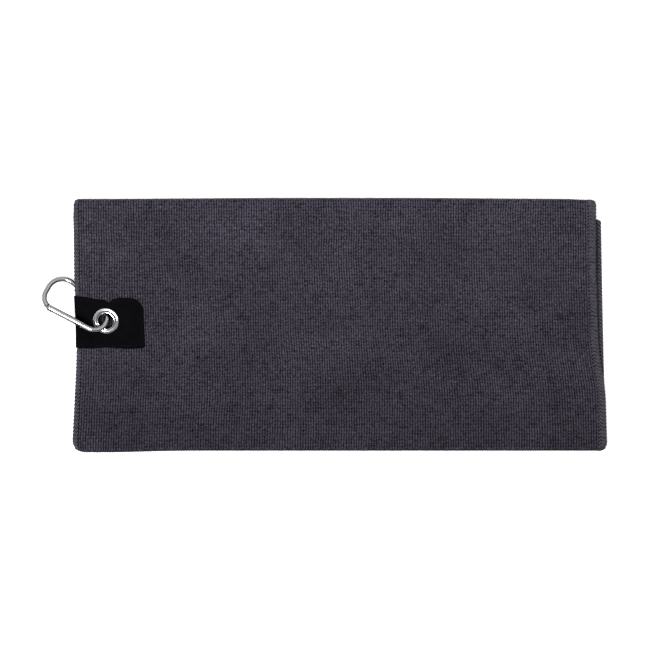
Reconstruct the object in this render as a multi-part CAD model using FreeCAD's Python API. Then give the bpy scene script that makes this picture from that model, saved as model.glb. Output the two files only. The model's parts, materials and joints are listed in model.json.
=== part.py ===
import FreeCAD, Part
import math
import os
from FreeCAD import Vector

# Golf towel, folded in three along its length, with a clip in its corner tab.
# X runs along the towel, Y across it, Z up. The origin is under the middle of the whole object.
# All lengths are in millimetres and all angles in degrees.

# --- cloth ---
CLOTH = 1.2                   # thickness of one layer
LAYER_GAP = 0.2               # air between two layers
FOLDED_HALF_WIDTH = 95.3      # from the middle to the outside of a long fold
PANEL_LEFT = (-189.9, -188.2)     # front layer's left end at the lower fold and at the upper fold
PANEL_RIGHT = (211.8, 203.2)      # front layer's right end at the lower fold and at the upper fold
INNER_LEFT = (-187.6, -189.3)     # same, for the layer turned in under it from the upper fold
INNER_RIGHT = (205.0, 203.2)
OUTER_LEFT = (-189.6, -188.9)     # same, for the layer turned in last from the lower fold
OUTER_RIGHT = (212.3, 207.6)
INNER_FREE_EDGE = -89.5       # Y of the inner layer's long free edge
OUTER_FREE_EDGE = 79.4        # Y of the outer layer's long free edge
INNER_CLIMB = (86.5, 81.5)    # the inner layer rises onto the outer one between these Y
EDGING = 2.0                  # width of the overlocked thread along a cut edge

# --- tab of folded tape on the left end ---
TAPE = 0.25                   # thickness of one leaf
TAPE_GAP = 0.05               # air between the tape and the cloth
TAB_END = -136.2              # X of its right end
TAB_TOP = (21.2, 17.2)        # Y of its upper edge at the towel's end and at its right end
TAB_BOTTOM = (-17.3, -16.9)   # Y of its lower edge at the same places
TAB_TRIM = 5.0                # reach past the tab of the shape cut from it
STITCH = (2.2, 0.45, 0.22)    # length, width and height of one stitch
STITCH_PITCH = 3.2
STITCH_INSET = 2.2            # seam line to the edge of the tab
STITCH_GAP = 0.12             # air under a stitch, which bridges the bent tape
SLOPE_STEP = 0.5              # distance over which the cloth's slope is taken

# --- eyelet ---
EYE = (-164.1, 3.3)           # where its middle lies
EYE_HEIGHT = 10.7             # height of its middle
EYE_TILT = 17.0               # it leans, so that the clip can pass over one lip and under the other
EYE_HOLE_R = 6.0
EYE_BARREL_R = 6.45
EYE_FLANGE_R = 9.8
EYE_FLANGE_HEIGHT = 0.75
EYE_RIM = 0.2                 # thickness of the flange at its edge and in the groove round its lip
EYE_GROOVE_R = 6.95           # the groove between the flange's dome and the lip round the hole
EYE_LIP_HEIGHT = 0.6
EYE_WASHER_R = 8.6
EYE_WASHER = 0.3              # thickness of the back ring
EYE_ROLL = 0.3                # thickness of the barrel's rolled end behind the back ring
EYE_ROLL_R = 7.5              # outer radius of that rolled end
EYE_ROLL_BEVEL = (0.4, 0.3)   # its bevel outside, and at the hole
EYE_SOFT = 0.1                # small rounding of its corners
EYE_DOME_STEPS = 12
EYE_LIP_STEPS = 8
METAL_GAP = 0.02              # air between two metal pieces that are pressed together
WASHER_FIT = 0.05             # air between the barrel and the back ring
HOLE_ROOM = 0.1               # air between the barrel and the cloth
EYE_GAP = 0.1                 # air between the tape and the metal

# --- clip ---
WIRE_R = 1.9
CLIP_HEADING = 152.5          # direction of its long axis from the eyelet, seen from above
CLIP_TILT = 23.0              # the gate side is high and the back side is low
CLIP_CROSSING = -1.2          # in-plane shift of the clip towards its gate side
GATE_LINE = 13.1              # gate centre line to the long axis
SMALL_END = -0.5              # along the long axis: middle of the wire at the eyelet end
BIG_END = 50.2                # and at the far end
BACK_START = -5.6             # back centre line to the long axis, at the eyelet
BACK_SLOPE = -0.212           # the back spreads from the long axis towards the far end
BEND_GATE_SMALL = 9.0
BEND_BACK_SMALL = 11.0
BEND_BACK_BIG = 11.7
BEND_GATE_BIG = 10.3

GATE_R = 2.3
GATE_NOSE_END = 15.3          # along the long axis: tip of the gate
PIVOT = 41.7                  # along the long axis: hinge pin
PIVOT_PIN_R = 0.7
LATCH = 17.1                  # along the long axis: cross pin that the nose holds
LATCH_PIN_R = 0.6
TONGUE = 1.4                  # thickness of the wire's flattened ends
TONGUE_CORNERS = ((4.2, -2.3), (4.6, 0.2), (1.2, 1.6))    # root in the wire and back, from the hinge pin
SLOT = 1.7                    # width of the gate's slotted ends
NOSE_GAP = 0.4                # end of the wire to the gate's tip
NOSE_ROOT = (2.5, -1.2, 1.7)  # the nose's length inside the wire, and its low and high edges there
NOSE_CORNERS = ((1.7, -0.8), (2.1, -0.2), (2.1, 1.1), (1.4, 1.7))     # its tip, from the cross pin
NOSE_SLOT_END = 2.6           # cross pin to the bottom of the gate's slot round the nose
NOTCH_ROOM = 0.1              # air round the cross pin in the nose's notch
NOTCH_DEPTH = 3.0
NOTCH_FLARE = 0.05
COLLAR = (0.6, 1.3, 0.45)     # the wire's swollen end beside the gate: extra radius, length and rounding
HINGE_ROOM = 0.25             # air round the gate's rounded end
BORE_R = 1.2                  # hole along the gate for its spring
BORE_DEPTH = 15.0             # hinge pin to the bottom of that hole
BORE_LENGTH = 14.0
PIVOT_FIT = 0.05              # air round the hinge pin in the gate
PIVOT_INSET = 0.1             # the pins end this far inside the gate's round surface
LATCH_INSET = 0.3
PLUNGER_R = 1.12
PLUNGER = 2.6                 # its length
PLUNGER_GAP = 0.03            # air between it and the tongue
PLUNGER_SIDE = 0.1            # air between it and the slot
CAM_FLAT = 1.5                # hinge pin to the flat that the plunger presses on
CAM_HALF = 1.2                # half of that flat's length
SPRING_WIRE_R = 0.17
SPRING_R = 0.85
SPRING_PITCH = 0.75
SPRING_LENGTH = 6.0
SPRING_GAP = 0.25             # plunger to the middle of the spring's first turn
OVERSIZE = 8.0                # reach of cutting tools past what they cut on the clip

# --- how the cloth is held up by the clip ---
EYE_SLOPE = math.tan(math.radians(EYE_TILT))
RISE_TOP = 3.5                # how far the cloth rises above the eyelet's middle
RISE_EASE = 0.5
DIP_LEVEL = -1.6              # cloth between the eyelet and the towel's end, against the eyelet
DIP_SLOPE = 0.46
DIP_TOP = 0.7
DIP_EASE = 1.0
DIP_X = (-14.5, -8.8)         # X from the eyelet over which the dip fades
FALL_X = (12.5, 62.0)         # X from the eyelet over which the cloth comes down to the pile
FALL_Y = (34.0, 84.0)         # Y from the eyelet, towards the upper fold
RISE_Y = (-46.0, -11.0)       # Y from the eyelet, towards the lower fold
PILE_LIFT = 0.4               # least lift near the tab, which leaves room for its back leaf
PILE_EASE = 0.8

OUTER_Z = 0.0
INNER_Z = OUTER_Z + CLOTH + LAYER_GAP
PANEL_Z = INNER_Z + CLOTH + LAYER_GAP
FOLD_R = (PANEL_Z + CLOTH) / 2
FOLD_Z = FOLD_R
FOLD_Y = FOLDED_HALF_WIDTH - FOLD_R
DRAPE_START = -193.0          # X range of the front layer's curved stretch
DRAPE_END = -98.0
DRAPE_COLUMNS = 43
DRAPE_ROWS = 49
CROWDING = 1.5                # how strongly the rows crowd round the eyelet
TRIM_Z = (-5.0, 40.0)         # start and height of the prisms that trim a curved sheet
TRIM_REACH = 300.0            # more than the towel's half length

HEADING = math.radians(CLIP_HEADING)
ALONG = Vector(math.cos(HEADING), math.sin(HEADING), 0)
ACROSS = Vector(math.sin(HEADING), -math.cos(HEADING), 0)      # towards the clip's back, level
TILT = math.radians(CLIP_TILT)


def smooth(value, start, end):
    """0 before start, 1 after end, and a smooth step between."""
    t = min(max((value - start) / (end - start), 0.0), 1.0)
    return t * t * (3 - 2 * t)


def soft_min(a, b, ease):
    return (a + b - math.hypot(a - b, ease)) / 2


def soft_max(a, b, ease):
    return (a + b + math.hypot(a - b, ease)) / 2


def drape(x, y):
    """Height of the underside of the front layer."""
    dx = x - EYE[0]
    dy = y - EYE[1]
    across = dx * ACROSS.x + dy * ACROSS.y
    on_eyelet = soft_min(EYE_SLOPE * across, RISE_TOP, RISE_EASE)
    in_dip = soft_min(DIP_LEVEL + DIP_SLOPE * across, DIP_TOP, DIP_EASE)
    share = smooth(dx, *DIP_X)
    lift = EYE_HEIGHT + share * on_eyelet + (1 - share) * in_dip - CLOTH / 2 - PANEL_Z
    reach = (1 - smooth(dx, *FALL_X)) * (1 - smooth(dy, *FALL_Y)) * smooth(dy, *RISE_Y)
    return PANEL_Z + soft_max(lift, PILE_LIFT, PILE_EASE) * reach


def lerp(pair, t):
    return pair[0] + (pair[1] - pair[0]) * t


def edge_x(pair, y):
    """X of a cloth end, given at the lower and the upper fold."""
    return lerp(pair, (y + FOLD_Y) / (2 * FOLD_Y))


def even(count):
    return [i / (count - 1) for i in range(count)]


def dense_middle(count, centre):
    """Positions from 0 to 1 that crowd around centre."""
    spread = []
    for t in even(count):
        side = 2 * t - 1
        reach = centre if side < 0 else 1 - centre
        spread.append(centre + reach * math.copysign(abs(side) ** CROWDING, side))
    return spread


def draped_block(bottom, top):
    """The curved stretch of the front layer, from bottom to top above its underside."""
    ys = dense_middle(DRAPE_ROWS, (EYE[1] + FOLD_Y) / (2 * FOLD_Y))
    grid = []
    for v in ys:
        y = lerp((-FOLD_Y, FOLD_Y), v)
        xs = [lerp((DRAPE_START, DRAPE_END), u) for u in even(DRAPE_COLUMNS)]
        grid.append([Vector(x, y, drape(x, y) + bottom) for x in xs])
    surface = Part.BSplineSurface()
    surface.interpolate(grid)
    return surface.toShape().extrude(Vector(0, 0, top - bottom))


def draped_sheet(points, bottom, top):
    """The part of that block inside an outline seen from above."""
    return draped_block(bottom, top).common(flat_sheet(points, *TRIM_Z))


def flat_sheet(points, z, thickness):
    outline = [Vector(x, y, z) for x, y in points]
    return Part.Face(Part.makePolygon(outline + outline[:1])).extrude(Vector(0, 0, thickness))


def band(left, right, y_low, y_high, inset_left=0.0, inset_right=0.0):
    """Outline between two cloth ends."""
    return [
        (edge_x(left, y_low) + inset_left, y_low),
        (edge_x(right, y_low) + inset_right, y_low),
        (edge_x(right, y_high) + inset_right, y_high),
        (edge_x(left, y_high) + inset_left, y_high),
    ]


def eyelet_frame():
    """Placement with Z along the eyelet's own axis."""
    tilt = FreeCAD.Rotation(Vector(ALONG.x, ALONG.y, 0), -EYE_TILT)
    return FreeCAD.Placement(Vector(EYE[0], EYE[1], EYE_HEIGHT), tilt)


def eyelet_clearance():
    length = 4 * EYE_BARREL_R
    hole = Part.makeCylinder(EYE_BARREL_R + HOLE_ROOM, length, Vector(0, 0, -length / 2))
    hole.Placement = eyelet_frame()
    return hole


def front_panel():
    draped = draped_sheet([
        (edge_x(PANEL_LEFT, -FOLD_Y) + EDGING, -FOLD_Y),
        (DRAPE_END, -FOLD_Y),
        (DRAPE_END, FOLD_Y),
        (edge_x(PANEL_LEFT, FOLD_Y) + EDGING, FOLD_Y),
    ], 0, CLOTH)
    flat = flat_sheet([
        (DRAPE_END, -FOLD_Y),
        (edge_x(PANEL_RIGHT, -FOLD_Y) - EDGING, -FOLD_Y),
        (edge_x(PANEL_RIGHT, FOLD_Y) - EDGING, FOLD_Y),
        (DRAPE_END, FOLD_Y),
    ], PANEL_Z, CLOTH)
    return draped.fuse(flat).removeSplitter().Solids[0].cut(eyelet_clearance())


def panel_left_edging():
    return draped_sheet(band(PANEL_LEFT, PANEL_LEFT, -FOLD_Y, FOLD_Y, 0, EDGING), 0, CLOTH)


def end_edging(pair, side, z, y_low, y_high):
    """Straight overlocked edge at a cloth end; side is -1 on the left and 1 on the right."""
    inner = -side * EDGING
    outline = band(pair, pair, y_low, y_high, min(inner, 0), max(inner, 0))
    return flat_sheet(outline, z, CLOTH)


def fold(left, right, side):
    """Half a tube of cloth that joins two layers; side is -1 at the lower fold, 1 at the upper."""
    y = side * FOLD_Y
    length = edge_x(right, y) - edge_x(left, y)
    start = Vector(edge_x(left, y), y, FOLD_Z)
    axis = Vector(1, 0, 0)
    outer = Part.makeCylinder(FOLD_R, length, start, axis)
    inner = Part.makeCylinder(FOLD_R - CLOTH, length, start, axis)
    keep = Part.makeBox(length, FOLD_R, 2 * FOLD_R)
    keep.translate(Vector(start.x, y if side > 0 else y - FOLD_R, 0))
    return outer.cut(inner).common(keep)


def inner_profile():
    """Cross-section of the layer that the upper fold turns in, as (y, z)."""
    return [
        (FOLD_Y, OUTER_Z),
        (INNER_CLIMB[0], OUTER_Z),
        (INNER_CLIMB[1], INNER_Z),
        (INNER_FREE_EDGE + EDGING, INNER_Z),
        (INNER_FREE_EDGE + EDGING, INNER_Z + CLOTH),
        (INNER_CLIMB[1], INNER_Z + CLOTH),
        (INNER_CLIMB[0], OUTER_Z + CLOTH),
        (FOLD_Y, OUTER_Z + CLOTH),
    ]


def inner_strip(x_low, x_high, x_top_low, x_top_high):
    """The inner layer's section between two slanting ends, given at the free edge and the fold."""
    outline = [Vector(-TRIM_REACH, y, z) for y, z in inner_profile()]
    strip = Part.Face(Part.makePolygon(outline + outline[:1])).extrude(Vector(2 * TRIM_REACH, 0, 0))
    return strip.common(flat_sheet([
        (x_low, INNER_FREE_EDGE), (x_high, INNER_FREE_EDGE), (x_top_high, FOLD_Y), (x_top_low, FOLD_Y),
    ], *TRIM_Z))


def inner_flap():
    low, high = INNER_FREE_EDGE, FOLD_Y
    return inner_strip(
        edge_x(INNER_LEFT, low) + EDGING, edge_x(INNER_RIGHT, low) - EDGING,
        edge_x(INNER_LEFT, high) + EDGING, edge_x(INNER_RIGHT, high) - EDGING)


def inner_end_edging(pair, side):
    low, high = INNER_FREE_EDGE, FOLD_Y
    inner = -side * EDGING
    return inner_strip(
        edge_x(pair, low) + min(inner, 0), edge_x(pair, low) + max(inner, 0),
        edge_x(pair, high) + min(inner, 0), edge_x(pair, high) + max(inner, 0))


def inner_long_edging():
    outline = band(INNER_LEFT, INNER_RIGHT, INNER_FREE_EDGE, INNER_FREE_EDGE + EDGING, EDGING, -EDGING)
    return flat_sheet(outline, INNER_Z, CLOTH)


def outer_flap():
    outline = band(OUTER_LEFT, OUTER_RIGHT, -FOLD_Y, OUTER_FREE_EDGE - EDGING, EDGING, -EDGING)
    return flat_sheet(outline, OUTER_Z, CLOTH)


def outer_long_edging():
    outline = band(OUTER_LEFT, OUTER_RIGHT, OUTER_FREE_EDGE - EDGING, OUTER_FREE_EDGE, EDGING, -EDGING)
    return flat_sheet(outline, OUTER_Z, CLOTH)


def tab_outline(left_reach, right_reach, side_reach):
    """The tab from above, grown past the towel's end, its right end and its two long edges."""
    end_x = edge_x(PANEL_LEFT, EYE[1])
    low_left, low_right = (y - side_reach for y in TAB_BOTTOM)
    high_left, high_right = (y + side_reach for y in TAB_TOP)
    right = TAB_END + right_reach
    return [
        (end_x - left_reach, low_left),
        (right, low_right),
        (right, high_right),
        (end_x - left_reach, high_left),
    ]


def hang_tab():
    """Tape folded over the towel's end: a block round the cloth, less the room that the cloth takes."""
    reach = TAPE_GAP + TAPE
    end_lean = edge_x(PANEL_LEFT, TAB_TOP[0]) - edge_x(PANEL_LEFT, TAB_BOTTOM[0])
    grown = reach + end_lean / 2
    block = draped_sheet(tab_outline(grown, 0, 0), -reach, CLOTH + reach)
    inside = draped_sheet(tab_outline(grown - TAPE, TAB_TRIM, TAB_TRIM), -TAPE_GAP, CLOTH + TAPE_GAP)
    return block.cut(inside).cut(eyelet_clearance())


def tab_stitching():
    """Seam along three sides of the tab's face, as separate stitches."""
    low_left, low_right, high_right, high_left = tab_outline(0, -STITCH_INSET, -STITCH_INSET)
    stitches = []
    for start, end in ((low_left, low_right), (low_right, high_right), (high_right, high_left)):
        length = math.hypot(end[0] - start[0], end[1] - start[1])
        count = int(length / STITCH_PITCH)
        angle = math.degrees(math.atan2(end[1] - start[1], end[0] - start[0]))
        for i in range(count):
            t = (i + 0.5) / count
            x = lerp((start[0], end[0]), t)
            y = lerp((start[1], end[1]), t)
            stitches.append(stitch(x, y, angle))
    return Part.makeCompound(stitches)


def stitch(x, y, angle):
    """One stitch, laid on the slope of the tab's face."""
    slope_x = (drape(x + SLOPE_STEP, y) - drape(x - SLOPE_STEP, y)) / (2 * SLOPE_STEP)
    slope_y = (drape(x, y + SLOPE_STEP) - drape(x, y - SLOPE_STEP)) / (2 * SLOPE_STEP)
    normal = Vector(-slope_x, -slope_y, 1)
    body = Part.makeBox(*STITCH, Vector(-STITCH[0] / 2, -STITCH[1] / 2, 0))
    top = drape(x, y) + CLOTH + TAPE_GAP + TAPE + STITCH_GAP
    turn = FreeCAD.Rotation(Vector(0, 0, 1), normal) * FreeCAD.Rotation(Vector(0, 0, 1), angle)
    body.Placement = FreeCAD.Placement(Vector(x, y, top), turn)
    return body


def turned(profile):
    """Solid of revolution about Z from (r, z) points, set on the eyelet's axis."""
    points = [Vector(r, 0, z) for r, z in profile]
    face = Part.Face(Part.makePolygon(points + points[:1]))
    solid = face.revolve(Vector(0, 0, 0), Vector(0, 0, 1), 360)
    solid.Placement = eyelet_frame()
    return solid


def clamp_half():
    """Half of the cloth and tape that the eyelet clamps."""
    return CLOTH / 2 + TAPE_GAP + TAPE + EYE_GAP


def arch(inner, outer, low, high, steps):
    """Half an ellipse from the inner radius to the outer one, as (r, z)."""
    half = (outer - inner) / 2
    points = []
    for i in range(steps + 1):
        turn = math.pi * (1 - i / steps)
        points.append((inner + half + half * math.cos(turn), low + (high - low) * math.sin(turn)))
    return points


def grommet_eyelet():
    """Lip round the hole, domed flange, barrel and rolled back edge, drawn from one piece of sheet."""
    top = clamp_half()
    back = -clamp_half() - EYE_WASHER - METAL_GAP
    middle = back - EYE_ROLL / 2
    end = back - EYE_ROLL
    groove = top + EYE_RIM
    lip = arch(EYE_HOLE_R, EYE_GROOVE_R, groove, top + EYE_LIP_HEIGHT, EYE_LIP_STEPS)
    dome = arch(EYE_GROOVE_R, EYE_FLANGE_R, groove, top + EYE_FLANGE_HEIGHT, EYE_DOME_STEPS)
    barrel = [(EYE_FLANGE_R, top), (EYE_BARREL_R, top), (EYE_BARREL_R, back)]
    roll = [
        (EYE_ROLL_R - EYE_SOFT, back),
        (EYE_ROLL_R, middle),
        (EYE_ROLL_R - EYE_ROLL_BEVEL[0], end),
        (EYE_HOLE_R + EYE_ROLL_BEVEL[1], end),
        (EYE_HOLE_R + EYE_SOFT, middle),
        (EYE_HOLE_R, back),
    ]
    return turned(lip + dome[1:] + barrel + roll)


def grommet_washer():
    top = -clamp_half()
    inner = EYE_BARREL_R + WASHER_FIT
    return turned([
        (inner, top),
        (EYE_WASHER_R, top),
        (EYE_WASHER_R, top - EYE_WASHER / 2),
        (EYE_WASHER_R - EYE_WASHER, top - EYE_WASHER),
        (inner, top - EYE_WASHER),
    ])


def clip_frame():
    """Placement of the flat clip: X along it, Y towards the gate, Z up through its plane."""
    to_gate = Vector(-ACROSS.x * math.cos(TILT), -ACROSS.y * math.cos(TILT), math.sin(TILT))
    normal = ALONG.cross(to_gate)
    origin = Vector(EYE[0], EYE[1], EYE_HEIGHT) + to_gate * CLIP_CROSSING
    matrix = FreeCAD.Matrix(
        ALONG.x, to_gate.x, normal.x, origin.x,
        ALONG.y, to_gate.y, normal.y, origin.y,
        ALONG.z, to_gate.z, normal.z, origin.z,
        0, 0, 0, 1)
    return FreeCAD.Placement(matrix)


def placed(shape):
    moved = shape.copy()
    moved.Placement = clip_frame().multiply(moved.Placement)
    return moved


def back_y(x):
    return BACK_START + BACK_SLOPE * x


def rounded_corner(before, corner, after, radius):
    """Tangent points and middle of the arc that rounds a corner."""
    to_before = (before - corner).normalize()
    to_after = (after - corner).normalize()
    half = to_before.getAngle(to_after) / 2
    tangent = radius / math.tan(half)
    bisector = (to_before + to_after).normalize()
    middle = corner + bisector * (radius / math.sin(half) - radius)
    return corner + to_before * tangent, middle, corner + to_after * tangent


def wire_path():
    """Centre line of the clip's wire, from the nose round to the hinge."""
    nose = Vector(GATE_NOSE_END - NOSE_GAP, GATE_LINE, 0)
    corners = [
        (Vector(SMALL_END, GATE_LINE, 0), BEND_GATE_SMALL),
        (Vector(SMALL_END, back_y(SMALL_END), 0), BEND_BACK_SMALL),
        (Vector(BIG_END, back_y(BIG_END), 0), BEND_BACK_BIG),
        (Vector(BIG_END, GATE_LINE, 0), BEND_GATE_BIG),
    ]
    hinge = Vector(PIVOT, GATE_LINE, 0)
    edges = []
    last = nose
    for i, (corner, radius) in enumerate(corners):
        before = corners[i - 1][0] if i else nose
        after = corners[i + 1][0] if i < len(corners) - 1 else hinge
        start, middle, end = rounded_corner(before, corner, after, radius)
        edges.append(Part.LineSegment(last, start).toShape())
        edges.append(Part.Arc(start, middle, end).toShape())
        last = end
    return Part.Wire(edges)


def flat_plate(points, thickness):
    outline = [Vector(x, y, -thickness / 2) for x, y in points]
    return Part.Face(Part.makePolygon(outline + outline[:1])).extrude(Vector(0, 0, thickness))


def pin(x, y, radius, length):
    return Part.makeCylinder(radius, length, Vector(x, y, -length / 2))


def hinge_tongue():
    """Flattened end of the wire inside the gate, with a flat for the plunger."""
    corners = [(PIVOT + x, GATE_LINE + y) for x, y in TONGUE_CORNERS]
    flat_low = (PIVOT - CAM_FLAT, GATE_LINE - CAM_HALF)
    flat_high = (PIVOT - CAM_FLAT, GATE_LINE + CAM_HALF)
    return flat_plate([flat_low] + corners + [flat_high], TONGUE)


def nose_hook():
    """Flattened nose inside the gate's tip, with a notch that holds the cross pin."""
    length, low, high = NOSE_ROOT
    root = GATE_NOSE_END - NOSE_GAP - length
    tip = [(LATCH + x, GATE_LINE + y) for x, y in NOSE_CORNERS]
    hook = flat_plate([(root, GATE_LINE + low)] + tip + [(root, GATE_LINE + high)], TONGUE)
    room = LATCH_PIN_R + NOTCH_ROOM
    notch = pin(LATCH, GATE_LINE, room, 2 * TONGUE)
    mouth = flat_plate([
        (LATCH - room, GATE_LINE),
        (LATCH - room, GATE_LINE - NOTCH_DEPTH),
        (LATCH + room + NOTCH_FLARE, GATE_LINE - NOTCH_DEPTH),
        (LATCH + room, GATE_LINE),
    ], 2 * TONGUE)
    return hook.cut(notch).cut(mouth)


def wire_collar():
    """The wire's swollen end, which the gate's tip meets."""
    extra, length, rounding = COLLAR
    start = Vector(GATE_NOSE_END - NOSE_GAP - length, GATE_LINE, 0)
    collar = Part.makeCylinder(WIRE_R + extra, length, start, Vector(1, 0, 0))
    return collar.makeFillet(rounding, collar.Edges)


def cutter(x, y, size, height=2 * OVERSIZE):
    """Block with its low corner at x, y, and its height centred on the clip's plane."""
    return Part.makeBox(*size, height, Vector(x, y, -height / 2))


def carabiner_frame():
    path = wire_path()
    section = Part.Wire(Part.makeCircle(WIRE_R, path.Vertexes[0].Point, Vector(1, 0, 0)))
    wire = path.makePipeShell([section], True, False)
    room = pin(PIVOT, GATE_LINE, GATE_R + HINGE_ROOM, 2 * OVERSIZE)
    past_hinge = cutter(PIVOT - OVERSIZE, GATE_LINE - OVERSIZE, (OVERSIZE, 2 * OVERSIZE))
    wire = wire.cut(room).cut(past_hinge)
    body = wire.fuse([wire_collar(), hinge_tongue(), nose_hook()])
    body = body.cut(pin(PIVOT, GATE_LINE, PIVOT_PIN_R, OVERSIZE))
    return placed(body.Solids[0])


def carabiner_gate():
    """Tube with slotted ends, bored from the hinge end for its spring."""
    length = PIVOT - GATE_NOSE_END
    tube = Part.makeCylinder(GATE_R, length, Vector(GATE_NOSE_END, GATE_LINE, 0), Vector(1, 0, 0))
    end = Part.makeSphere(GATE_R, Vector(PIVOT, GATE_LINE, 0))
    gate = tube.fuse(end)
    size = (OVERSIZE, OVERSIZE)
    side = GATE_LINE - OVERSIZE / 2
    hinge_slot = cutter(PIVOT - CAM_FLAT - CAM_HALF, side, size, SLOT)
    nose_slot = cutter(LATCH + NOSE_SLOT_END - OVERSIZE, side, size, SLOT)
    bore_start = Vector(PIVOT - BORE_DEPTH, GATE_LINE, 0)
    bore = Part.makeCylinder(BORE_R, BORE_LENGTH, bore_start, Vector(1, 0, 0))
    gate = gate.cut(hinge_slot).cut(nose_slot).cut(bore)
    gate = gate.cut(pin(PIVOT, GATE_LINE, PIVOT_PIN_R + PIVOT_FIT, OVERSIZE))
    gate = gate.cut(pin(LATCH, GATE_LINE, LATCH_PIN_R, OVERSIZE))
    return placed(gate.Solids[0])


def gate_pivot_pin():
    """Rivet held by the tongue, with the gate turning on it."""
    return placed(pin(PIVOT, GATE_LINE, PIVOT_PIN_R, 2 * GATE_R - PIVOT_INSET))


def gate_latch_pin():
    return placed(pin(LATCH, GATE_LINE, LATCH_PIN_R, 2 * GATE_R - LATCH_INSET))


def plunger_tip():
    return PIVOT - CAM_FLAT - PLUNGER_GAP


def gate_plunger():
    """Small piston between the spring and the tongue's flat, flattened to fit the gate's slot."""
    tip = plunger_tip()
    start = Vector(tip - PLUNGER, GATE_LINE, 0)
    body = Part.makeCylinder(PLUNGER_R, PLUNGER, start, Vector(1, 0, 0))
    flats = cutter(tip - OVERSIZE, GATE_LINE - OVERSIZE / 2, (OVERSIZE, OVERSIZE), SLOT - PLUNGER_SIDE)
    return placed(body.common(flats))


def gate_spring():
    start = plunger_tip() - PLUNGER - SPRING_GAP
    helix = Part.makeHelix(SPRING_PITCH, SPRING_LENGTH, SPRING_R)
    section = Part.Wire(Part.makeCircle(SPRING_WIRE_R, Vector(SPRING_R, 0, 0), Vector(0, 1, 0)))
    coil = helix.makePipeShell([section], True, True)
    turn = FreeCAD.Rotation(Vector(0, 0, 1), Vector(-1, 0, 0))
    coil.Placement = FreeCAD.Placement(Vector(start, GATE_LINE, 0), turn)
    return placed(coil)


def build():
    full = (-FOLD_Y, FOLD_Y)
    outer = (-FOLD_Y, OUTER_FREE_EDGE)
    return {
        "front_panel": front_panel(),
        "inner_flap": inner_flap(),
        "outer_flap": outer_flap(),
        "upper_fold": fold(PANEL_LEFT, PANEL_RIGHT, 1),
        "lower_fold": fold(PANEL_LEFT, PANEL_RIGHT, -1),
        "front_left_edging": panel_left_edging(),
        "front_right_edging": end_edging(PANEL_RIGHT, 1, PANEL_Z, *full),
        "inner_left_edging": inner_end_edging(INNER_LEFT, -1),
        "inner_right_edging": inner_end_edging(INNER_RIGHT, 1),
        "inner_long_edging": inner_long_edging(),
        "outer_left_edging": end_edging(OUTER_LEFT, -1, OUTER_Z, *outer),
        "outer_right_edging": end_edging(OUTER_RIGHT, 1, OUTER_Z, *outer),
        "outer_long_edging": outer_long_edging(),
        "hang_tab": hang_tab(),
        "tab_stitching": tab_stitching(),
        "grommet_eyelet": grommet_eyelet(),
        "grommet_washer": grommet_washer(),
        "carabiner_frame": carabiner_frame(),
        "carabiner_gate": carabiner_gate(),
        "gate_pivot_pin": gate_pivot_pin(),
        "gate_latch_pin": gate_latch_pin(),
        "gate_plunger": gate_plunger(),
        "gate_spring": gate_spring(),
    }


def main():
    os.makedirs("parts", exist_ok=True)
    for name, shape in build().items():
        shape.exportStep("parts/" + name + ".step")
        box = shape.BoundBox
        print(name, len(shape.Solids), shape.isValid(), round(shape.Volume, 2),
              [round(v, 2) for v in (box.XMin, box.YMin, box.ZMin, box.XMax, box.YMax, box.ZMax)])


main()
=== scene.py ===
import functools
import json
import math

import bmesh
import bpy
import numpy as np
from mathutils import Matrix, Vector


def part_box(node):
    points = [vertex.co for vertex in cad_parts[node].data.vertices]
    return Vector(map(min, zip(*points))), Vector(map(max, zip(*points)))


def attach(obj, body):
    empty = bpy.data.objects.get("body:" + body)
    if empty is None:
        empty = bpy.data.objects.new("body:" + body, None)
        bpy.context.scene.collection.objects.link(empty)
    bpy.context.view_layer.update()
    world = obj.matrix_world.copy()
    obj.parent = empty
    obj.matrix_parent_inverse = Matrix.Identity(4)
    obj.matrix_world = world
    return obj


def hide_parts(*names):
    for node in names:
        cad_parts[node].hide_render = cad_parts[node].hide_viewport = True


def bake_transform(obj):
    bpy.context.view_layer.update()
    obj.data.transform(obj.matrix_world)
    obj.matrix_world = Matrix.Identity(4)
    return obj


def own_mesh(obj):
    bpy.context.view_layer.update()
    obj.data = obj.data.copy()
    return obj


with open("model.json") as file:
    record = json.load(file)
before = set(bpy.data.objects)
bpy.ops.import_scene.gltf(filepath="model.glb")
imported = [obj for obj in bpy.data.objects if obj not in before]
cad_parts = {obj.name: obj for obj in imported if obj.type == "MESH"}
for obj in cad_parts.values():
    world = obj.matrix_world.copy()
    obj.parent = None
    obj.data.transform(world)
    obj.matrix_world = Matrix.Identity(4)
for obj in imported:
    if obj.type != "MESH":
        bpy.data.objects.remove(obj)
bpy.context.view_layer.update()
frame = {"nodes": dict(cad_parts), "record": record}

# Golf towel, folded in three, with a clip in its corner tab: the visual model round the CAD frame.
# Metres, X along the towel, Y across it, Z up. Angles are in radians unless a name ends in DEG.

joints = {joint["name"]: joint for joint in frame["record"]["behaviour"]["joints"]}
MM = 0.001

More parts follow.
